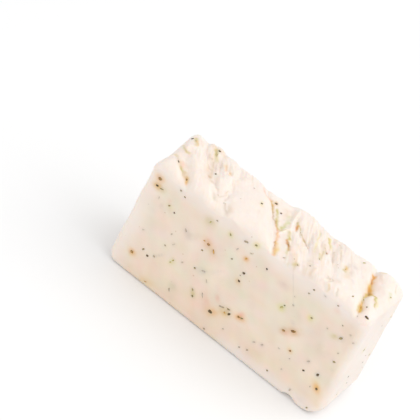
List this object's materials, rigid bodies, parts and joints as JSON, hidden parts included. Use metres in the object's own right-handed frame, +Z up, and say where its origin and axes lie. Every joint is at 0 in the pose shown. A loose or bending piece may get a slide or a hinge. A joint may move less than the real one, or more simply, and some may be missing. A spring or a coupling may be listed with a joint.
{
  "type": "bar of soap",
  "caption": "Hand-cut rectangular slice of poured soap with flat cut faces, softened corners and a swirled, uneven top flecked with dried herbs and petals.",
  "frame": {"origin": "centre of the base, the long narrow face that lay in the mould", "axes": "+X along the bar towards its right end, +Y away from the front cut face, +Z up to the swirled top"},
  "size_m": [0.09, 0.025, 0.05],
  "materials": {
    "soap": "cream soap, smooth and slightly waxy, with a soft sheen"
  },
  "bodies": {
    "root": {"soap_bar": "soap"}
  },
  "joints": []
}
